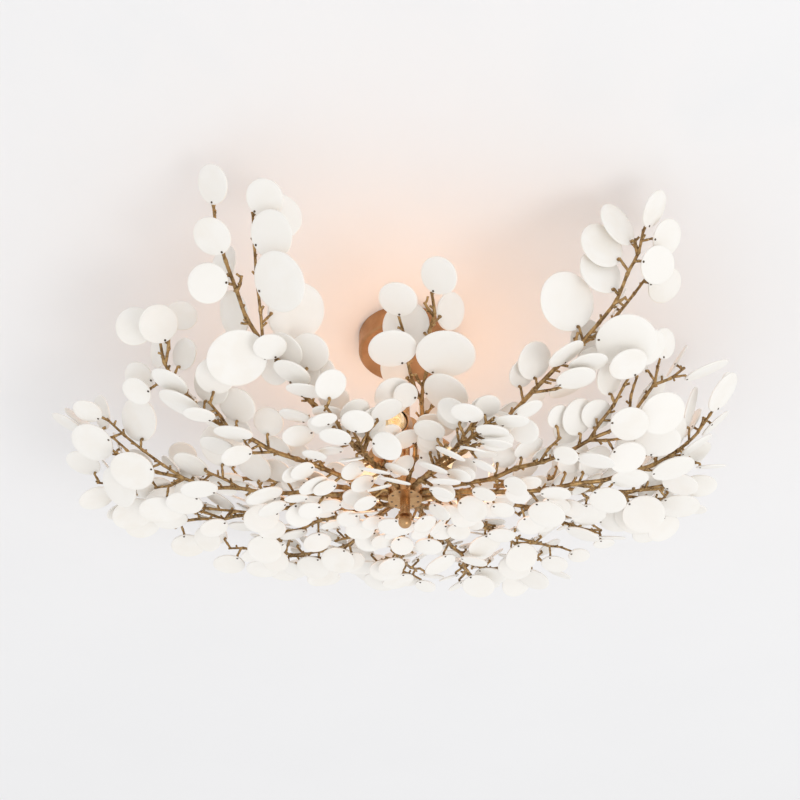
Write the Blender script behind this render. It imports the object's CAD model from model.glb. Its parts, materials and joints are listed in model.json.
"""Looks of the flush mount ceiling light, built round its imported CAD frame.

The twigs, stubs, discs, pins and bulbs are made again as finer meshes, on the lines and in
the places of the CAD nodes that they replace. The turned brass, the steel and the lampholders
keep their CAD shapes and get their finishes here.
"""

import json
import math

import bpy
import numpy as np
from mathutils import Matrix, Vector


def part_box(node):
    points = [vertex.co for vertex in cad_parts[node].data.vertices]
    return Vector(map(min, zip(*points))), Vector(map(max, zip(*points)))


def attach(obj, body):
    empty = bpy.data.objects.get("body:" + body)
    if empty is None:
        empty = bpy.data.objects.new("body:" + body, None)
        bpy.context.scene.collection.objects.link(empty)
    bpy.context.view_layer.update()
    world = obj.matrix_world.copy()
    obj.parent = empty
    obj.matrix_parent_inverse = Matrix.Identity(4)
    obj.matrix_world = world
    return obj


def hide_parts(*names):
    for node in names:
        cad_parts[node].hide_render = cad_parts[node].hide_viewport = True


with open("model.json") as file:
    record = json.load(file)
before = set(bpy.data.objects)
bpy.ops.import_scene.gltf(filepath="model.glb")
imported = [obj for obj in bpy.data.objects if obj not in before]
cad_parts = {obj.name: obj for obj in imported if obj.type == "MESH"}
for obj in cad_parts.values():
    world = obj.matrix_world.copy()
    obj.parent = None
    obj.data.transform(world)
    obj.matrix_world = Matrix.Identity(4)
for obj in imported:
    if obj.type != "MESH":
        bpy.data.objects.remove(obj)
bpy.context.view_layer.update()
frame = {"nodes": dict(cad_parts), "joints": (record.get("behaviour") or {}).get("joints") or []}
MM = 0.001
JOINTS = {joint["name"]: joint for joint in frame["joints"]}
LAMPS = (1, 2, 3)

# Camera: below and in front of the light, tilted up at the ceiling
CAMERA_PLACE = (0.0, -1.529, -1.374)
CAMERA_TILT = math.radians(39.5)
CAMERA_LENS = 66.7
STEM_COLUMN = 405
PICTURE_WIDTH = 800

lens = bpy.data.cameras.new("camera")
lens.lens = CAMERA_LENS
lens.sensor_width = 36
lens.shift_x = (PICTURE_WIDTH / 2 - STEM_COLUMN) / PICTURE_WIDTH
camera = bpy.data.objects.new("camera", lens)
camera.location = CAMERA_PLACE
camera.rotation_euler = (math.pi / 2 + CAMERA_TILT, 0, 0)
bpy.context.scene.collection.objects.link(camera)
bpy.context.scene.camera = camera


# The twigs' lines, in millimetres, drawn by the rules of the part's source
def seeded_draws(count, seed):
    """Even draws from -1 to 1, each from two halves of 32 bits."""
    halves = np.random.RandomState(seed).randint(0, 2**32, size=2 * count, dtype=np.uint32)
    halves = halves.astype(float)
    return (halves[0::2] + halves[1::2] * 2.0**32) / 2.0**63 - 1


DRAWS = seeded_draws(5000, 41)
BRANCH_NODES = 12
BRANCH_KINK = 3
BRANCH_GAP = 3
ROOT_D, TIP_D = 6.4, 3.2
TWIG_D, TWIG_TAPER, TWIG_L, TWIG_L_MIN, TWIG_ANGLE = 3.6, 0.7, 62, 14, 42
TALL, TALL_BEND, TWIG_L_TALL = (0, 2, 4), 6, 20
TWIG_NODES = (3, 5, 7, 9, 11)
FORK_NODES, FORK_ANGLE, FORK_REACH, FORK_BOW = 4, 20, 0.8, 6
FORK_STRAY, FORK_OPENING = 2, 0.8
FORK_TAPER = (1.15, 0.85)
HUB_TIER = 0.28
STRAY_FADE, STRAY_RISE = 4, 0.6
OFF_NODE = 0.12
SIDE_SHARE = 0.92
TWIG_ANGLE_STRAY, TWIG_L_STRAY, TWIG_LIFT, TWIG_BEND = 6, 0.15, 0.22, 0.35

# Azimuth, turn by the tip, radius and depth of the curve's two points and of the tip, fork node
BRANCHES = (
    (-36, 0, (200, 262), (345, 235), (390, 72), 7),
    (-23, -5, (90, 280), (140, 292), (180, 286), 6),
    (10, -2, (90, 245), (185, 222), (240, 142), 6),
    (27, 3, (100, 278), (160, 294), (205, 288), 7),
    (43, 4, (190, 262), (370, 215), (398, 72), 7),
    (67, -3, (130, 280), (330, 285), (345, 182), 7),
    (88, 3, (170, 282), (365, 250), (398, 138), 7),
    (107, 4, (120, 212), (305, 202), (402, 176), 8),
    (125, -3, (130, 207), (280, 207), (395, 158), 7),
    (145, 3, (130, 220), (260, 185), (390, 156), 7),
    (163, -3, (140, 222), (300, 200), (405, 136), 8),
    (182, 2, (140, 225), (310, 205), (402, 122), 7),
    (200, 4, (140, 218), (300, 198), (405, 132), 7),
    (220, -4, (130, 222), (270, 190), (395, 150), 8),
    (238, 3, (130, 215), (260, 228), (392, 172), 7),
    (253, -1, (130, 207), (300, 168), (410, 180), 8),
    (270, -2, (165, 280), (360, 255), (412, 154), 7),
    (298, 3, (140, 268), (315, 285), (350, 168), 7),
)
hub_low, hub_high = (np.array(corner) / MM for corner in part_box("hub"))
HUB_R = (hub_high[0] - hub_low[0]) / 2
HUB_TOP, HUB_H = hub_high[2], hub_high[2] - hub_low[2]
SEAT_GAP = 0.1
UP = np.array((0.0, 0.0, 1.0))


def unit(v):
    return v / np.linalg.norm(v)


def mix(a, b, t):
    return a + (b - a) * t


def draw(k):
    """The draw that the part's source takes for this seed."""
    return DRAWS[k % len(DRAWS)]


def around(r, azimuth, z):
    """The point at a radius, an azimuth from the front and a height."""
    a = math.radians(azimuth)
    return np.array((r * math.sin(a), -r * math.cos(a), z))


def bezier(p, t):
    return (p[0] * (1 - t) ** 3 + 3 * p[1] * t * (1 - t) ** 2
            + 3 * p[2] * t * t * (1 - t) + p[3] * t**3)


def branch_point(i, j):
    """Node j of branch i, on its curve and a little astray from it."""
    azimuth, turn, *stations, _ = BRANCHES[i]
    tier = HUB_TIER if i % 2 == 0 else 1 - HUB_TIER
    root = np.array((HUB_R + SEAT_GAP, HUB_TOP - HUB_H * tier))
    t = j / BRANCH_NODES
    r, z = bezier([root] + [np.array((s[0], -s[1])) for s in stations], t)
    stray = BRANCH_KINK * min(1, t * STRAY_FADE)
    here = azimuth + turn * t * t
    k = i * 97 + j * 2
    sideways = around(stray * draw(k + 1), here + 90, 0)
    return around(r, here, z + stray * draw(k) * STRAY_RISE) + sideways


def along(line, j):
    """A line's direction at a node."""
    return unit(line[min(j + 1, len(line) - 1)] - line[max(j - 1, 0)])


def outside(t):
    """The direction across t that points out of the bowl."""
    return unit(np.cross(unit(np.cross(UP, t)), t))


def line_at(line, j):
    """A point of a line, also between two nodes."""
    return mix(line[math.floor(j)], line[math.ceil(j)], j - math.floor(j))


def side_room(i, step, r):
    """The room from branch i at a radius to the middle between it and its neighbour."""
    turn = BRANCHES[(i + step) % len(BRANCHES)][0] - BRANCHES[i][0]
    gap = abs((turn + 180) % 360 - 180)
    return r * math.sin(math.radians(gap / 2)) * SIDE_SHARE - BRANCH_GAP


def twig_side(i, j):
    """The side of branch i that its twig at node j grows to."""
    return 1 if (i + (j - 1) // 2) % 2 == 0 else -1


def twig_line(i, j):
    """The three points of the side twig at node j of branch i."""
    side = twig_side(i, j)
    line = BRANCH_LINES[i]
    start = line_at(line, j - OFF_NODE)
    t = along(line, j)
    n = outside(t)
    s = np.cross(t, n)
    angle = math.radians(TWIG_ANGLE + TWIG_ANGLE_STRAY * draw(i * 31 + j))
    full = TWIG_L * (1 - TWIG_L_STRAY + TWIG_L_STRAY * draw(i * 17 + j * 3))
    if i in TALL and j > TALL_BEND:
        full = TWIG_L_TALL
    room = side_room(i, side, math.hypot(start[0], start[1])) / math.sin(angle)
    length = max(TWIG_L_MIN, min(full, room))
    lift = TWIG_LIFT * draw(i * 13 + j * 5)
    way = unit(t * math.cos(angle) + s * side * math.sin(angle) + n * lift)
    middle = start + way * length / 2
    return [start, middle, middle + unit(way + t * TWIG_BEND - n * lift / 2) * length / 2]


def fork_line(i):
    """The points of the second tip that branch i forks into."""
    line, j = BRANCH_LINES[i], BRANCHES[i][5]
    side = -twig_side(i, j if j % 2 == 1 else j - 1)
    reach = np.linalg.norm(line[BRANCH_NODES] - line[j]) * FORK_REACH
    n = outside(along(line, j))
    s = np.cross(along(line, j), n)
    points = []
    for k in range(FORK_NODES + 1):
        u = k / FORK_NODES
        p = mix(line_at(line, j - OFF_NODE), line[BRANCH_NODES], u * FORK_REACH)
        stray = FORK_STRAY * draw(i * 53 + k) * min(1, k)
        sideways = side * reach * math.sin(math.radians(FORK_ANGLE)) * u**FORK_OPENING + stray
        points.append(p + s * sideways + n * math.sin(u * math.pi) * FORK_BOW)
    return points


BRANCH_LINES = [[branch_point(i, j) for j in range(BRANCH_NODES + 1)]
                for i in range(len(BRANCHES))]


# Meshes
class Shape:
    """Points in millimetres and faces, gathered into one mesh, with one value per point."""

    def __init__(self):
        self.points, self.faces, self.values = [], [], []
        self.count = 0

    def add(self, points, faces, values):
        self.points.append(np.asarray(points, float))
        self.faces.extend(tuple(v + self.count for v in face) for face in faces)
        self.values.append(np.broadcast_to(np.asarray(values, float), len(points)))
        self.count += len(points)

    def make(self, name, material, value_name):
        mesh = bpy.data.meshes.new(name)
        points = np.concatenate(self.points) * MM
        mesh.from_pydata(points.tolist(), [], self.faces)
        mesh.validate()
        mesh.shade_smooth()
        values = mesh.attributes.new(value_name, "FLOAT", "POINT")
        values.data.foreach_set("value", np.concatenate(self.values).astype(np.float32))
        mesh.materials.append(material)
        piece = bpy.data.objects.new(name, mesh)
        bpy.context.scene.collection.objects.link(piece)
        return piece


def sleeve(rings, sides, closed=False):
    """Quads between rings of points that follow one another."""
    last = rings if closed else rings - 1
    return [(j * sides + a, j * sides + (a + 1) % sides,
             (j + 1) % rings * sides + (a + 1) % sides, (j + 1) % rings * sides + a)
            for j in range(last) for a in range(sides)]


def lathe(profile, sides, origin, x, y, z):
    """Points and faces of a profile of radius and height turned about z. It ends on the axis."""
    turn = np.arange(sides) * 2 * math.pi / sides
    circle = np.outer(np.cos(turn), x) + np.outer(np.sin(turn), y)
    rings = [origin + circle * r + z * h for r, h in profile if r > 0]
    points = np.concatenate(rings)
    faces = sleeve(len(rings), sides)
    for at_start in (True, False):
        r, h = profile[0] if at_start else profile[-1]
        if r > 0:
            continue
        first = 0 if at_start else (len(rings) - 1) * sides
        points = np.vstack([points, origin + z * h])
        tip = len(points) - 1
        for a in range(sides):
            pair = (first + (a + 1) % sides, first + a)
            faces.append((tip,) + (pair if at_start else pair[::-1]))
    return points, faces


def finer(line, radii, step):
    """More points on a line, which keep its bends, with their radius and distance to a node."""
    points, widths, offs, tangents = [], [], [], []
    count = len(line)
    ways = [along(line, j) for j in range(count)]
    for j in range(count - 1):
        a, b = line[j], line[j + 1]
        length = np.linalg.norm(b - a)
        straight = (b - a) / length
        pull_a = unit(mix(straight, ways[j], BEND_SOFTNESS)) * length
        pull_b = unit(mix(straight, ways[j + 1], BEND_SOFTNESS)) * length
        parts = max(LEAST_PARTS, round(length / step))
        for k in range(parts + (j == count - 2)):
            t = k / parts
            h = t * t * (3 - 2 * t)
            p = a * (1 - h) + b * h + pull_a * t * (1 - t) ** 2 - pull_b * t * t * (1 - t)
            points.append(p)
            widths.append(mix(radii[j], radii[j + 1], t))
            near = j if t < 0.5 else j + 1
            offs.append((min(t, 1 - t) * length, near))
    for k in range(len(points)):
        tangents.append(unit(points[min(k + 1, len(points) - 1)] - points[max(k - 1, 0)]))
    return points, widths, offs, tangents


BEND_SOFTNESS = 0.55
TWIG_STEP, LEAST_PARTS = 5, 4
BARK = 0.3
BARK_SHARE = 0.97
BARK_RIDGE, BARK_DRIFT = 0.09, 0.7
KNUCKLE, KNUCKLE_REACH = 0.34, 2.6
SWELL = (0.55, 1.25)
WEAR_FLAT, WEAR_ON_KNUCKLES, WEAR_ON_RIDGES, WEAR_ON_TIPS, WEAR_INSIDE = 0.35, 1.1, 2.5, 0.25, 0.1
TIP_TAPER, TIP_BULGE, TIP_HOLLOW = 0.18, 0.16, 0.1


def bark_tube(shape, line, radii, sides, seed, root_inside):
    """A twig: swollen at its nodes, ridged along its length, and cut off bluntly at its tip."""
    points, widths, offs, tangents = finer(line, radii, TWIG_STEP)
    random = np.random.RandomState(seed)
    ridge = random.uniform(-1, 1, sides)
    drift = random.uniform(-1, 1, (len(points), sides))
    swell = random.uniform(*SWELL, len(line))
    n = outside(tangents[0])
    rings, wear = [], []
    for k, (p, r, (off, near), t) in enumerate(zip(points, widths, offs, tangents)):
        n = unit(n - t * np.dot(n, t))
        s = np.cross(t, n)
        at_root = near == 0 and root_inside
        knuckle = 0 if at_root else KNUCKLE * swell[near] * math.exp(-((off / KNUCKLE_REACH) ** 2))
        rough = BARK_RIDGE * (ridge + BARK_DRIFT * drift[k])
        turn = np.arange(sides) * 2 * math.pi / sides
        radius = (r + BARK) * (BARK_SHARE + knuckle + rough)
        rings.append(p + (np.outer(np.cos(turn), n) + np.outer(np.sin(turn), s)) * radius[:, None])
        wear.append(WEAR_FLAT + knuckle * WEAR_ON_KNUCKLES + rough * WEAR_ON_RIDGES)
    tip, t, r = points[-1], tangents[-1], widths[-1]
    rings.append(mix(rings[-1], tip, TIP_TAPER) + t * r * TIP_BULGE)
    wear.append(wear[-1] + WEAR_ON_TIPS)
    solid = np.vstack(rings + [[tip + t * r * TIP_HOLLOW], [points[0]]])
    faces = sleeve(len(rings), sides)
    last = (len(rings) - 1) * sides
    faces += [(len(solid) - 2, last + a, last + (a + 1) % sides) for a in range(sides)]
    faces += [(len(solid) - 1, (a + 1) % sides, a) for a in range(sides)]
    shape.add(solid, faces, np.concatenate(wear + [[WEAR_INSIDE] * 2]))
    return points, tangents, widths


SPUR_SIDES = 6
SPUR_BEND, SPUR_BEND_AT = 0.25, 0.55
SPUR_TAPER = (1.15, 0.95, 0.9)


def spur(shape, root, way, length, r, seed):
    """A short side shoot, cut off square."""
    bent = unit(way + np.random.RandomState(seed).uniform(-SPUR_BEND, SPUR_BEND, 3))
    bend = root + way * length * SPUR_BEND_AT
    line = [root, bend, bend + bent * length * (1 - SPUR_BEND_AT)]
    bark_tube(shape, line, [r * share for share in SPUR_TAPER], SPUR_SIDES, seed + 1, True)


# Where the discs are, read from the frame's meshes, in millimetres
WELD = 1e-6
RIM_SHARE = 0.12
HOLE_CLEARANCE = 1.5


def loose_parts(node):
    """The points of each separate solid of a CAD node."""
    mesh = frame["nodes"][node].data
    points = np.empty(len(mesh.vertices) * 3)
    mesh.vertices.foreach_get("co", points)
    points = points.reshape(-1, 3)
    _, welded = np.unique(np.round(points / WELD).astype(np.int64), axis=0, return_inverse=True)
    welded = welded.ravel()
    edges = np.empty(len(mesh.edges) * 2, np.int64)
    mesh.edges.foreach_get("vertices", edges)
    a, b = welded[edges.reshape(-1, 2)].T
    label = np.arange(welded.max() + 1)
    while True:
        least = np.minimum(label[a], label[b])
        new = label.copy()
        np.minimum.at(new, a, least)
        np.minimum.at(new, b, least)
        new = new[new]
        if np.array_equal(new, label):
            break
        label = new
    own = label[welded]
    order = np.argsort(own, kind="stable")
    cuts = np.flatnonzero(np.diff(own[order])) + 1
    return [points[part] / MM for part in np.split(order, cuts)]


def circle_of(flat):
    """Centre and radius of the circle through flat points."""
    rows = np.column_stack([2 * flat, np.ones(len(flat))])
    fit = np.linalg.lstsq(rows, (flat**2).sum(1), rcond=None)[0]
    return fit[:2], math.sqrt(fit[2] + fit[0] ** 2 + fit[1] ** 2)


def disc_place(part):
    """A disc's centre, normal, radius and pin hole."""
    part = np.unique(part.round(5), axis=0)
    middle = part.mean(0)
    axes = np.linalg.svd(part - middle)[2]
    flat = (part - middle) @ axes[:2].T
    centre, r = circle_of(flat)
    rim = np.abs(np.linalg.norm(flat - centre, axis=1) - r) < r * RIM_SHARE
    for _ in range(3):
        centre, r = circle_of(flat[rim])
        rim = np.linalg.norm(flat - centre, axis=1) > r - HOLE_CLEARANCE
    hole = flat[~rim].mean(0)
    return (middle + centre @ axes[:2], axes[2], r, middle + hole @ axes[:2])


class Leaf:
    """One disc: its node, centre, radius and hole, and the way that its face and pin look."""

    def __init__(self, node, centre, normal, r, hole, pin_middle):
        self.node, self.centre, self.r, self.hole = node, centre, r, hole
        self.face = normal if np.dot(pin_middle - hole, normal) > 0 else -normal
        self.inward = unit(centre - hole)
        self.across = np.cross(self.face, self.inward)


DISC_NODES = ("discs_small", "discs_medium", "discs_large", "discs_largest")
DISC_T = 2.2
PIN_HOLE_R = 1.0
ROOT_END = 0.6
pin_middles = np.array([part.mean(0) for part in loose_parts("pins")])
LEAVES = []
for node in DISC_NODES:
    for part in loose_parts(node):
        centre, normal, r, hole = disc_place(part)
        pin = pin_middles[np.argmin(np.linalg.norm(pin_middles - hole, axis=1))]
        LEAVES.append(Leaf(node, centre, normal, r, hole, pin))
stub_parts = loose_parts("stubs")
pad_ends = np.array([leaf.hole - leaf.face * (DISC_T / 2 + SEAT_GAP) for leaf in LEAVES])
for leaf, end in zip(LEAVES, pad_ends):
    near = [np.linalg.norm(part - end, axis=1).min() for part in stub_parts]
    part = stub_parts[int(np.argmin(near))]
    clear = np.array([np.linalg.norm(pad_ends - p, axis=1).min() for p in part])
    leaf.pad = end
    leaf.root = part[clear > clear.max() * ROOT_END].mean(0)


# Finishes
class Tree:
    """Short calls for the nodes and links of one node tree."""

    def __init__(self, tree):
        self.tree = tree

    def node(self, kind, **settings):
        made = self.tree.nodes.new(kind)
        for key, value in settings.items():
            setattr(made, key, value)
        return made

    def link(self, out, into):
        self.tree.links.new(out, into)

    def math(self, operation, a, b=None, clamp=False):
        made = self.node("ShaderNodeMath", operation=operation, use_clamp=clamp)
        for socket, value in zip(made.inputs, (a, b)):
            if value is None:
                continue
            if isinstance(value, (int, float)):
                socket.default_value = value
            else:
                self.link(value, socket)
        return made.outputs[0]

    def noise(self, place, scale, detail=3.0):
        made = self.node("ShaderNodeTexNoise")
        made.inputs["Detail"].default_value = detail
        if isinstance(scale, (int, float)):
            made.inputs["Scale"].default_value = scale
        else:
            self.link(scale, made.inputs["Scale"])
        self.link(place, made.inputs["Vector"])
        return made.outputs["Fac"]

    def spread(self, value, low, high):
        """0 at low and 1 at high, with soft ends."""
        made = self.node("ShaderNodeMapRange", interpolation_type="SMOOTHSTEP")
        self.link(value, made.inputs["Value"])
        made.inputs["From Min"].default_value = low
        made.inputs["From Max"].default_value = high
        return made.outputs["Result"]

    def blend(self, amount, a, b):
        made = self.node("ShaderNodeMix", data_type="RGBA")
        for socket, value in zip((made.inputs[0], made.inputs[6], made.inputs[7]), (amount, a, b)):
            if isinstance(value, tuple):
                socket.default_value = (*value, 1.0)
            else:
                self.link(value, socket)
        return made.outputs[2]


def effect(name, inputs, outputs, build):
    """A shader node group. build takes its tree, its inputs and its outputs by name."""
    group = bpy.data.node_groups.new(name, "ShaderNodeTree")
    kinds = {float: "NodeSocketFloat", tuple: "NodeSocketColor"}
    for key, value in inputs.items():
        socket = group.interface.new_socket(key, in_out="INPUT", socket_type=kinds[type(value)])
        socket.default_value = (*value, 1.0) if isinstance(value, tuple) else value
    for key, kind in outputs.items():
        group.interface.new_socket(key, in_out="OUTPUT", socket_type=kinds[kind])
    start = group.nodes.new("NodeGroupInput")
    end = group.nodes.new("NodeGroupOutput")
    build(Tree(group), start.outputs, end.inputs)
    return group


CLOUD_SCALE, GRIT_SCALE = 0.35, 3.0
TARNISHED, RUBBED = (0.62, 0.38), (0.38, 0.68)
DULLING, POLISH, GRIT_ROUGHNESS = 0.18, 0.14, 0.2
SPECK_HEIGHT, GRIT_HEIGHT = 0.6, 0.4
PLAIN_WEAR = 0.3


def build_patina(t, take, give):
    """Old brass: dark where it has tarnished, bright where hands and cloths have worn it."""
    place = t.node("ShaderNodeTexCoord").outputs["Object"]
    cloud = t.noise(place, t.math("MULTIPLY", take["Scale"], CLOUD_SCALE), 4.0)
    speck = t.noise(place, take["Scale"], 5.0)
    grit = t.noise(place, t.math("MULTIPLY", take["Scale"], GRIT_SCALE), 2.0)
    dark = t.math("MULTIPLY", t.spread(cloud, *TARNISHED), take["Tarnish"], clamp=True)
    rubbed = t.math("MULTIPLY", t.spread(speck, *RUBBED), take["Wear"], clamp=True)
    colour = t.blend(dark, take["Color"], take["Dark"])
    t.link(t.blend(rubbed, colour, take["Worn"]), give["Color"])
    dulled = t.math("ADD", take["Roughness"], t.math("MULTIPLY", dark, DULLING))
    even = t.math("SUBTRACT", dulled, t.math("MULTIPLY", rubbed, POLISH))
    gritty = t.math("MULTIPLY", t.math("SUBTRACT", grit, 0.5), GRIT_ROUGHNESS)
    t.link(t.math("ADD", even, gritty, clamp=True), give["Roughness"])
    t.link(t.math("ADD", t.math("MULTIPLY", speck, SPECK_HEIGHT),
                  t.math("MULTIPLY", grit, GRIT_HEIGHT)), give["Height"])


PATINA = effect(
    "patina",
    {"Color": (0.4, 0.3, 0.15), "Dark": (0.15, 0.1, 0.05), "Worn": (0.6, 0.45, 0.25),
     "Wear": 0.3, "Tarnish": 0.6, "Scale": 300.0, "Roughness": 0.35},
    {"Color": tuple, "Roughness": float, "Height": float}, build_patina)


GRAIN_SCALE, GRAIN_ROUGHNESS = 24.0, 0.25
MOTTLED = (0.35, 0.7)


def build_biscuit(t, take, give):
    """Unglazed ware: soft clouds of tone and a fine grain."""
    place = t.node("ShaderNodeTexCoord").outputs["Object"]
    cloud = t.noise(place, take["Scale"], 3.0)
    grain = t.noise(place, t.math("MULTIPLY", take["Scale"], GRAIN_SCALE), 3.0)
    t.link(t.blend(t.math("MULTIPLY", t.spread(cloud, *MOTTLED), take["Mottle"]),
                   take["Color"], take["Shade"]), give["Color"])
    t.link(t.math("ADD", t.math("MULTIPLY", cloud, 0.5), t.math("MULTIPLY", grain, 0.5)),
           give["Height"])
    t.link(t.math("ADD", take["Roughness"],
                  t.math("MULTIPLY", t.math("SUBTRACT", grain, 0.5), GRAIN_ROUGHNESS), clamp=True),
           give["Roughness"])


BISCUIT = effect(
    "biscuit",
    {"Color": (0.9, 0.88, 0.85), "Shade": (0.8, 0.77, 0.72), "Mottle": 0.5, "Scale": 60.0,
     "Roughness": 0.6},
    {"Color": tuple, "Roughness": float, "Height": float}, build_biscuit)


def finish(name, group, metallic, bump, bump_depth, values, plain=None, own=None):
    """A material: one effect that feeds a Principled shader, whose plain values are set here."""
    made = bpy.data.materials.new(name)
    made.use_nodes = True
    t = Tree(made.node_tree)
    shader = made.node_tree.nodes["Principled BSDF"]
    shader.inputs["Metallic"].default_value = metallic
    for key, value in (plain or {}).items():
        shader.inputs[key].default_value = value
    skin = t.node("ShaderNodeGroup", node_tree=group)
    for key, value in values.items():
        skin.inputs[key].default_value = (*value, 1.0) if isinstance(value, tuple) else value
    for attribute, socket in (own or {}).items():
        found = t.node("ShaderNodeAttribute", attribute_name=attribute)
        t.link(found.outputs["Fac"], skin.inputs[socket])
    relief = t.node("ShaderNodeBump")
    relief.inputs["Strength"].default_value = bump
    relief.inputs["Distance"].default_value = bump_depth
    t.link(skin.outputs["Height"], relief.inputs["Height"])
    t.link(skin.outputs["Color"], shader.inputs["Base Color"])
    t.link(skin.outputs["Roughness"], shader.inputs["Roughness"])
    t.link(relief.outputs["Normal"], shader.inputs["Normal"])
    return made


TWIG_BRASS = finish(
    "twig_brass", PATINA, 0.85, 0.5, 0.0004,
    {"Color": (0.40, 0.24, 0.095), "Dark": (0.14, 0.075, 0.03), "Worn": (0.62, 0.43, 0.2),
     "Tarnish": 0.85, "Scale": 300.0, "Roughness": 0.4}, own={"wear": "Wear"})
TURNED_BRASS = finish(
    "turned_brass", PATINA, 0.9, 0.25, 0.0001,
    {"Color": (0.50, 0.285, 0.13), "Dark": (0.33, 0.17, 0.07), "Worn": (0.66, 0.43, 0.22),
     "Wear": 0.4, "Tarnish": 0.5, "Scale": 110.0, "Roughness": 0.27})
CANOPY_BRASS = finish(
    "canopy_brass", PATINA, 0.8, 0.2, 0.0001,
    {"Color": (0.47, 0.25, 0.115), "Dark": (0.33, 0.165, 0.07), "Worn": (0.58, 0.35, 0.18),
     "Wear": 0.3, "Tarnish": 0.5, "Scale": 60.0, "Roughness": 0.42})
PIN_BRONZE = finish(
    "pin_bronze", PATINA, 0.7, 0.3, 0.0001,
    {"Color": (0.10, 0.07, 0.045), "Dark": (0.05, 0.035, 0.025), "Worn": (0.22, 0.15, 0.08),
     "Wear": 0.4, "Tarnish": 0.6, "Scale": 500.0, "Roughness": 0.45})
ZINC = finish(
    "zinc", PATINA, 0.9, 0.2, 0.0001,
    {"Color": (0.55, 0.56, 0.57), "Dark": (0.38, 0.38, 0.37), "Worn": (0.7, 0.71, 0.72),
     "Wear": 0.4, "Tarnish": 0.5, "Scale": 220.0, "Roughness": 0.4})
GREEN_SCREW = finish(
    "green_screw", PATINA, 0.6, 0.2, 0.0001,
    {"Color": (0.05, 0.22, 0.08), "Dark": (0.02, 0.11, 0.04), "Worn": (0.2, 0.4, 0.22),
     "Wear": 0.3, "Tarnish": 0.5, "Scale": 500.0, "Roughness": 0.4})
SHELL_METAL = finish(
    "shell_metal", PATINA, 0.9, 0.2, 0.0001,
    {"Color": (0.6, 0.59, 0.56), "Dark": (0.4, 0.38, 0.34), "Worn": (0.75, 0.74, 0.72),
     "Wear": 0.4, "Tarnish": 0.5, "Scale": 300.0, "Roughness": 0.3})
PORCELAIN = finish(
    "porcelain", BISCUIT, 0.0, 0.25, 0.0002,
    {"Color": (0.905, 0.882, 0.838), "Shade": (0.88, 0.842, 0.78), "Scale": 40.0,
     "Roughness": 0.58},
    {"Specular IOR Level": 0.3},
    {"tint": "Mottle"})
SOCKET_WARE = finish(
    "socket_ware", BISCUIT, 0.0, 0.1, 0.0001,
    {"Color": (0.82, 0.79, 0.72), "Shade": (0.72, 0.68, 0.6), "Mottle": 0.5, "Scale": 80.0,
     "Roughness": 0.35})
INSULATION = finish(
    "insulation", BISCUIT, 0.0, 0.1, 0.0001,
    {"Color": (0.74, 0.71, 0.65), "Shade": (0.64, 0.6, 0.54), "Mottle": 0.5, "Scale": 150.0,
     "Roughness": 0.5})
NUT_PLASTIC = finish(
    "nut_plastic", BISCUIT, 0.0, 0.15, 0.0001,
    {"Color": (0.62, 0.24, 0.05), "Shade": (0.5, 0.18, 0.035), "Mottle": 0.5, "Scale": 200.0,
     "Roughness": 0.45})
GLASS = finish(
    "bulb_glass", BISCUIT, 0.0, 0.05, 0.0001,
    {"Color": (1.0, 0.94, 0.82), "Shade": (1.0, 0.89, 0.72), "Mottle": 0.6, "Scale": 60.0,
     "Roughness": 0.1},
    {"Transmission Weight": 1.0, "IOR": 1.45, "Emission Color": (1.0, 0.8, 0.46, 1.0),
     "Emission Strength": 0.11})
FILAMENT = finish(
    "filament", BISCUIT, 0.0, 0.05, 0.0001,
    {"Color": (0.9, 0.5, 0.2), "Shade": (0.8, 0.4, 0.14), "Mottle": 0.6, "Scale": 300.0,
     "Roughness": 0.5}, {"Emission Color": (1.0, 0.3, 0.06, 1.0), "Emission Strength": 1.4})

# Twigs: stem, side twigs, fork and cut-off spurs of each branch
BRANCH_SIDES, TWIG_SIDES = 9, 7
SPUR_R, SPUR_SHARE, SPUR_L, SPUR_SPREAD = 1.0, 0.8, 4.0, 4.5
SPUR_LEAN = (0.5, 1.1)
SPUR_EVERY, SPUR_FIRST, FORK_SPUR_FIRST = 4, 3, 4
SPUR_CLEARANCE, SPUR_PROBES = 1.2, (0.3, 0.7, 1.0)
STEM_SEED, FORK_SEED, TWIG_SEED = 100, 200, 300
STEM_SPUR_SEED, FORK_SPUR_SEED, TWIG_SPUR_SEED = 3000, 6000, 9000
disc_centres = np.array([leaf.centre for leaf in LEAVES])
disc_faces = np.array([leaf.face for leaf in LEAVES])
disc_radii = np.array([leaf.r for leaf in LEAVES])


def clear_of_discs(p):
    """Whether a point stands free of every disc."""
    away = p - disc_centres
    height = (away * disc_faces).sum(1)
    aside = np.linalg.norm(away - disc_faces * height[:, None], axis=1)
    beyond = np.maximum(aside - disc_radii, 0)
    return np.hypot(height, beyond).min() - DISC_T / 2 > SPUR_CLEARANCE


def spurs(shape, track, seed, first=SPUR_FIRST):
    """Cut-off side shoots along a twig, where no disc is in their way."""
    points, tangents, widths = track
    random = np.random.RandomState(seed)
    for k in range(first, len(points) - 1, SPUR_EVERY):
        t = tangents[k]
        n = outside(t)
        s = np.cross(t, n)
        spin = random.uniform(0, 2 * math.pi)
        way = unit(t * random.uniform(*SPUR_LEAN) + n * math.cos(spin) + s * math.sin(spin))
        length = SPUR_L + SPUR_SPREAD * random.uniform() ** 2
        probes = [points[k] + way * (widths[k] + length * u) for u in SPUR_PROBES]
        if all(clear_of_discs(p) for p in probes):
            r = min(SPUR_R, widths[k] * SPUR_SHARE)
            spur(shape, points[k], way, length + widths[k], r, seed + k)


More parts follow.
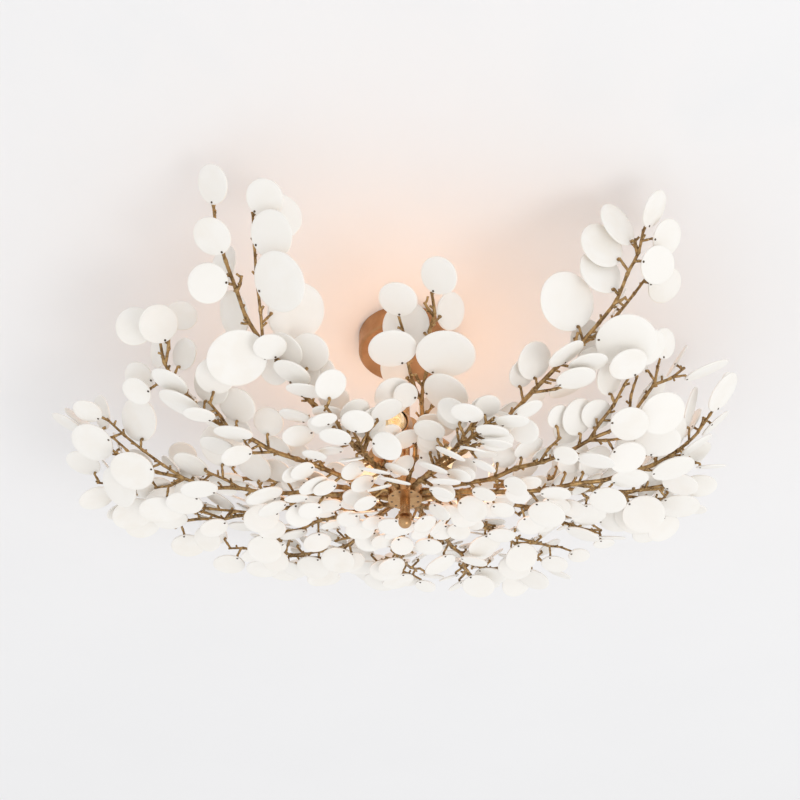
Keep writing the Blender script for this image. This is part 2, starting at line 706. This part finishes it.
for i in range(len(BRANCHES)):
    shape = Shape()
    radii = [mix(ROOT_D, TIP_D, j / BRANCH_NODES) / 2 for j in range(BRANCH_NODES + 1)]
    track = bark_tube(shape, BRANCH_LINES[i], radii, BRANCH_SIDES, STEM_SEED + i, True)
    spurs(shape, track, STEM_SPUR_SEED + i * 50)
    thick, thin = (TIP_D * share for share in FORK_TAPER)
    radii = [mix(thick, thin, k / FORK_NODES) / 2 for k in range(FORK_NODES + 1)]
    track = bark_tube(shape, fork_line(i), radii, TWIG_SIDES, FORK_SEED + i, True)
    spurs(shape, track, FORK_SPUR_SEED + i * 50, FORK_SPUR_FIRST)
    radii = [mix(TWIG_D, TWIG_D * TWIG_TAPER, k / 2) / 2 for k in range(3)]
    for j in TWIG_NODES:
        seed = TWIG_SEED + i * 20 + j
        track = bark_tube(shape, twig_line(i, j), radii, TWIG_SIDES, seed, True)
        spurs(shape, track, TWIG_SPUR_SEED + i * 50 + j)
    piece = shape.make(f"twigs_{i + 1:02d}", TWIG_BRASS, "wear")
    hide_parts(f"branch_{i + 1:02d}")
    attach(piece, "root")

# Stubs, discs and pins
STUB_RADII = (1.5, 1.2, 1.1, 1.25)
STUB_SIDES, STUB_SEED = 6, 20000
STUB_RISE, STUB_RISE_SHARE, STUB_BEND_AT, STUB_SINK = 3.0, 0.4, 0.55, 0.3
FLANGE_SIDES, FLANGE_WEAR = 8, 0.4
FLANGE = ((0.0, -1.0), (1.1, -1.0), (1.9, -0.6), (2.1, -0.15), (2.0, 0.05), (0.0, 0.05))
shape = Shape()
for k, leaf in enumerate(LEAVES):
    rise = min(STUB_RISE, STUB_RISE_SHARE * np.linalg.norm(leaf.pad - leaf.root))
    under = leaf.pad - leaf.face * rise
    bend = mix(leaf.root, under, STUB_BEND_AT)
    bark_tube(shape, [leaf.root, bend, under, leaf.pad - leaf.face * STUB_SINK], STUB_RADII,
              STUB_SIDES, STUB_SEED + k, True)
    points, faces = lathe(FLANGE, FLANGE_SIDES, leaf.pad, leaf.inward, leaf.across, leaf.face)
    shape.add(points, faces, FLANGE_WEAR)
piece = shape.make("stub_pegs", TWIG_BRASS, "wear")
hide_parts("stubs")
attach(piece, "root")

DISC_SIDES = {"discs_small": 28, "discs_medium": 32, "discs_large": 36, "discs_largest": 44}
FLAT_RINGS = (0.0, 0.03, 0.3, 0.6, 0.85, 1.0)
RIM_ANGLES = (40, 90, 140)
RIM_R = 0.9
CUP, CUP_LEAST, WARP = 0.45, 0.2, 0.22
WOBBLE, THREE_LOBES = 0.009, 0.6
TINTS = (0.1, 0.9)
DISC_SEED = 40000


def disc(shape, leaf, seed):
    """A pressed disc: a rounded rim, slightly domed and out of round, with its pin's hole."""
    random = np.random.RandomState(seed)
    sides = DISC_SIDES[leaf.node]
    turn = np.arange(sides) * 2 * math.pi / sides
    phase = random.uniform(0, 2 * math.pi, 3)
    cup, warp = CUP * random.uniform(CUP_LEAST, 1), WARP * random.uniform(-1, 1)
    lobes = np.cos(2 * turn + phase[0]) + THREE_LOBES * np.cos(3 * turn + phase[1])
    flat_r = leaf.r * (1 + WOBBLE * (lobes - 1 - THREE_LOBES)) - RIM_R
    hole_x = -np.linalg.norm(leaf.centre - leaf.hole)

    def height(x, y):
        far = (x * x + y * y) / leaf.r**2
        return far * (warp * np.cos(2 * np.arctan2(y, x) + phase[2]) - cup)

    base = height(hole_x, 0.0)
    rings = []

    def ring(u, grow, z):
        radius = mix(PIN_HOLE_R, flat_r, u) + grow
        x, y = hole_x * (1 - u) + radius * np.cos(turn), radius * np.sin(turn)
        h = height(x, y) - base + z
        rings.append(leaf.centre + np.outer(x, leaf.inward) + np.outer(y, leaf.across)
                     + np.outer(h, leaf.face))

    for u in FLAT_RINGS:
        ring(u, 0, DISC_T / 2)
    for angle in RIM_ANGLES:
        a = math.radians(angle)
        ring(1, RIM_R * math.sin(a), DISC_T / 2 * math.cos(a))
    for u in reversed(FLAT_RINGS):
        ring(u, 0, -DISC_T / 2)
    faces = [face[::-1] for face in sleeve(len(rings), sides, closed=True)]
    shape.add(np.concatenate(rings), faces, random.uniform(*TINTS))


for node in DISC_NODES:
    shape = Shape()
    for k, leaf in enumerate(LEAVES):
        if leaf.node == node:
            disc(shape, leaf, DISC_SEED + k)
    piece = shape.make(node.replace("discs", "porcelain"), PORCELAIN, "tint")
    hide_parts(node)
    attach(piece, "root")

PIN_PROFILE = ((0.0, 0.8), (0.75, 0.7), (1.25, 0.4), (1.5, 0.0), (0.8, -0.02), (0.8, -2.2),
               (0.0, -2.2))
PIN_SIDES = 10
shape = Shape()
for leaf in LEAVES:
    top = leaf.hole + leaf.face * (DISC_T / 2 + SEAT_GAP)
    points, faces = lathe(PIN_PROFILE, PIN_SIDES, top, leaf.inward, leaf.across, leaf.face)
    shape.add(points, faces, PLAIN_WEAR)
piece = shape.make("disc_pins", PIN_BRONZE, "wear")
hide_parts("pins")
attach(piece, "root")


# Bulbs: threaded shell, glass and the glowing cage
def lamp_axes(k):
    """Where a bulb turns: a point of its axis, two directions across and the axis itself."""
    joint = JOINTS[f"bulb_{k}_turn"]
    z = unit(np.array(joint["axis"], float))
    x = unit(np.cross(UP, z))
    return np.array(joint["pos_m"], float) / MM, x, np.cross(z, x), z


def reach(node, origin, z):
    """Where a node starts and ends along an axis, and its largest radius."""
    points = np.array([v.co for v in frame["nodes"][node].data.vertices]) / MM - origin
    heights = points @ z
    away = np.linalg.norm(points - np.outer(heights, z), axis=1)
    return heights.min(), heights.max(), away.max()


SHELL_SIDES, BULB_SIDES, MOUNT_SIDES = 28, 40, 16
THREAD_PITCH, THREAD_DEPTH, THREAD_ROWS = 2.54, 0.6, 7
THREAD_START_ROWS, THREAD_END_ROWS, SHELL_EDGE = 4, 8, 0.8
GLASS_WALL, DOME_STEP = 0.9, 9
NECK = ((0.0, 0), (6.2, 0), (6.4, 2), (8.2, 4), (11.2, 7.5), (13.2, 12))
NECK_L, NECK_INNER_FROM = 17, 4
INNER_FOOT = ((0.0, 3.2), (5.4, 3.4))
MOUNT_FOOT = ((0.0, 0), (2.6, 0), (1.6, 4), (1.0, 9))
MOUNT_TIP = ((0.7, -2), (1.1, -1), (0.0, 0))
CAGE_WIRES, CAGE_R, CAGE_FOOT, CAGE_TOP_GAP, WIRE_R = 8, 3.5, 9, 0.6, 0.3
LEAD_FOOT, LEAD_BEND, LEAD_SPREAD = 2, 6, 1.6
OFF_AXIS = (0.3, 0.5, 0.81)
LAMP_COLOUR = (1.0, 0.54, 0.29)
LAMP_WATTS, LAMP_R = 0.38, 0.014


def threaded_shell(shape, axes, start, end, r):
    """A bulb's screw shell: a round thread that fades out at both ends."""
    origin, x, y, z = axes
    sides = SHELL_SIDES
    rows = round((end - start) / THREAD_PITCH * THREAD_ROWS)
    turn = np.arange(sides) * 2 * math.pi / sides
    rings = []
    for j in range(rows + 1):
        h = mix(start, end, j / rows)
        fade = min(1, j / THREAD_START_ROWS, (rows - j) / THREAD_END_ROWS)
        wave = 0.5 - 0.5 * np.cos(2 * math.pi * h / THREAD_PITCH - turn)
        radius = r - THREAD_DEPTH * wave * fade - (SHELL_EDGE if j == 0 else 0)
        rings.append(origin + z * h + (np.outer(np.cos(turn), x)
                                       + np.outer(np.sin(turn), y)) * radius[:, None])
    points = np.vstack(rings + [[origin + z * start], [origin + z * end]])
    faces = sleeve(len(rings), sides)
    last = rows * sides
    faces += [(len(points) - 1, last + a, last + (a + 1) % sides) for a in range(sides)]
    faces += [(len(points) - 2, (a + 1) % sides, a) for a in range(sides)]
    shape.add(points, faces, PLAIN_WEAR)


def wire(shape, points, r, sides=6):
    """A run of thin wire through points."""
    tangents = [unit(points[min(k + 1, len(points) - 1)] - points[max(k - 1, 0)])
                for k in range(len(points))]
    n = unit(np.cross(tangents[0], OFF_AXIS))
    turn = np.arange(sides) * 2 * math.pi / sides
    rings = []
    for p, t in zip(points, tangents):
        n = unit(n - t * np.dot(n, t))
        rings.append(p + (np.outer(np.cos(turn), n) + np.outer(np.sin(turn), np.cross(t, n))) * r)
    solid = np.vstack(rings)
    last = (len(rings) - 1) * sides
    faces = sleeve(len(rings), sides)
    faces += [tuple(last + a for a in range(sides)), tuple(reversed(range(sides)))]
    shape.add(solid, faces, PLAIN_WEAR)


# The pieces that stand too near the lamps to be lit by them without bleaching
inside_lamps = bpy.data.collections.new("inside_lamps")
for k in LAMPS:
    axes = lamp_axes(k)
    origin, x, y, z = axes
    body = f"bulb_{k}"
    shape = Shape()
    threaded_shell(shape, axes, *reach(f"bulb_{k}_base", origin, z))
    piece = shape.make(f"bulb_{k}_screw_shell", SHELL_METAL, "wear")
    inside_lamps.objects.link(piece)
    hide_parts(f"bulb_{k}_base")
    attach(piece, body)

    start, end, r = reach(f"bulb_{k}_glass", origin, z)
    dome = [(r * math.cos(a), end - r + r * math.sin(a))
            for a in np.radians(np.arange(0, 91, DOME_STEP))]
    dome[-1] = (0.0, end)
    neck = [(p, start + h) for p, h in NECK] + [(r, start + NECK_L)]
    inner = [(p, start + h) for p, h in INNER_FOOT]
    inner += [(p - GLASS_WALL, h) for p, h in neck[NECK_INNER_FROM:]]
    inner += [(p - GLASS_WALL * p / r, h - GLASS_WALL * (h - end + r) / r) for p, h in dome]
    shape = Shape()
    shape.add(*lathe(neck + dome, BULB_SIDES, origin, x, y, z), PLAIN_WEAR)
    points, faces = lathe(inner, BULB_SIDES, origin, x, y, z)
    shape.add(points, [face[::-1] for face in faces], PLAIN_WEAR)
    piece = shape.make(f"bulb_{k}_envelope", GLASS, "wear")
    piece.visible_shadow = False
    inside_lamps.objects.link(piece)
    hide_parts(f"bulb_{k}_glass")
    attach(piece, body)

    floor, top, _ = reach(f"bulb_{k}_filament", origin, z)
    shape = Shape()
    mount = [(p, floor + h) for p, h in MOUNT_FOOT] + [(p, top + h) for p, h in MOUNT_TIP]
    shape.add(*lathe(mount, MOUNT_SIDES, origin, x, y, z), PLAIN_WEAR)
    piece = shape.make(f"bulb_{k}_mount", SOCKET_WARE, "wear")
    inside_lamps.objects.link(piece)
    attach(piece, body)
    shape = Shape()
    cage = []
    for q in range(CAGE_WIRES * 2):
        a = q * math.pi / CAGE_WIRES
        h = top - CAGE_TOP_GAP if (q // 2) % 2 == (q % 2) else floor + CAGE_FOOT
        cage.append(origin + z * h + (x * math.cos(a) + y * math.sin(a)) * CAGE_R)
    wire(shape, cage, WIRE_R)
    for side in (-1, 1):
        wire(shape, [origin + z * (floor + LEAD_FOOT) + x * side,
                     origin + z * (floor + LEAD_BEND) + x * side * LEAD_SPREAD,
                     origin + z * (floor + CAGE_FOOT) + x * side * CAGE_R], WIRE_R)
    piece = shape.make(f"bulb_{k}_glowing_cage", FILAMENT, "wear")
    inside_lamps.objects.link(piece)
    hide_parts(f"bulb_{k}_filament")
    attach(piece, body)

    glow = bpy.data.lights.new(f"lamp_{k}", "POINT")
    glow.energy = LAMP_WATTS
    glow.color = LAMP_COLOUR
    glow.shadow_soft_size = LAMP_R
    lamp = bpy.data.objects.new(f"lamp_{k}", glow)
    lamp.location = (origin + z * (start + end) / 2) * MM
    lamp.visible_camera = False
    lamp.visible_transmission = False
    lamp.visible_glossy = False
    bpy.context.scene.collection.objects.link(lamp)
    lamp.light_linking.receiver_collection = inside_lamps
for node in ("lamp_cups", "lamp_sockets"):
    inside_lamps.objects.link(frame["nodes"][node])
for member in inside_lamps.collection_objects:
    member.light_linking.link_state = "EXCLUDE"

# Finishes of the CAD nodes that stay
KEPT = {
    "canopy": CANOPY_BRASS, "ground_screw": GREEN_SCREW, "leads": INSULATION,
    "wire_nuts": NUT_PLASTIC, "lamp_sockets": SOCKET_WARE,
}
KEPT.update({f"bulb_{k}_contact": SHELL_METAL for k in LAMPS})
KEPT.update({node: TURNED_BRASS for node in (
    "slip_ring", "thumb_screw", "stem", "wiring_chamber", "chamber_cover", "lower_tube", "hub",
    "finial_tube", "finial_ring", "finial_ball", "lamp_cups")})
KEPT.update({node: ZINC for node in (
    "crossbar", "nipple", "crossbar_fasteners", "chamber_nipple", "chamber_nuts",
    "threaded_rod", "lamp_nipples")})
KEPT["hub_set_screws"] = PIN_BRONZE
for node, material in KEPT.items():
    mesh = frame["nodes"][node].data
    mesh.materials.clear()
    mesh.materials.append(material)

# Ceiling and light
CEILING_COLOUR, CEILING_SHADE = (0.86, 0.86, 0.865), 0.985
BACKGROUND, WORLD_LIGHT = (0.87, 0.87, 0.875), (0.94, 0.94, 0.945)
CEILING_R = 30
CEILING_GAP = 0.0006
BOX_HOLE_R = 0.05
CEILING_SIDES = 48

ceiling_mesh = bpy.data.meshes.new("ceiling")
turn = [a * 2 * math.pi / CEILING_SIDES for a in range(CEILING_SIDES)]
ceiling_mesh.from_pydata([(r * math.cos(a), r * math.sin(a), CEILING_GAP)
                          for r in (BOX_HOLE_R, CEILING_R) for a in turn],
                         [], sleeve(2, CEILING_SIDES))
ceiling = bpy.data.objects.new("ceiling", ceiling_mesh)
bpy.context.scene.collection.objects.link(ceiling)
plaster = finish(
    "plaster", BISCUIT, 0.0, 0.05, 0.0005,
    {"Color": CEILING_COLOUR, "Shade": tuple(c * CEILING_SHADE for c in CEILING_COLOUR),
     "Mottle": 0.6, "Scale": 3.0, "Roughness": 0.9}, {"Specular IOR Level": 0.1})
t = Tree(plaster.node_tree)
shader = plaster.node_tree.nodes["Principled BSDF"]
output = plaster.node_tree.nodes["Material Output"]
clear = t.node("ShaderNodeBsdfTransparent")
sides = t.node("ShaderNodeMixShader")
t.link(t.node("ShaderNodeNewGeometry").outputs["Backfacing"], sides.inputs[0])
t.link(shader.outputs[0], sides.inputs[1])
t.link(clear.outputs[0], sides.inputs[2])
t.link(sides.outputs[0], output.inputs["Surface"])
ceiling_mesh.materials.append(plaster)

world = bpy.data.worlds.new("world")
world.use_nodes = True
bpy.context.scene.world = world
w = Tree(world.node_tree)
sky = world.node_tree.nodes["Background"]
path = w.node("ShaderNodeLightPath")
seen = w.math("MAXIMUM", path.outputs["Is Camera Ray"], path.outputs["Is Transmission Ray"])
w.link(w.blend(seen, WORLD_LIGHT, BACKGROUND), sky.inputs["Color"])
sky.inputs["Strength"].default_value = 1.0

WINDOW_PLACE, WINDOW_AIM = Vector((2.3, -2.2, -3.6)), Vector((0, 0, -0.2))
panel = bpy.data.lights.new("window", "AREA")
panel.size = 2.0
panel.energy = 35
panel.color = (1.0, 0.995, 0.98)
window = bpy.data.objects.new("window", panel)
window.location = WINDOW_PLACE
window.rotation_euler = (WINDOW_AIM - WINDOW_PLACE).to_track_quat("-Z", "Y").to_euler()
bpy.context.scene.collection.objects.link(window)

bpy.context.scene.view_settings.view_transform = "Standard"
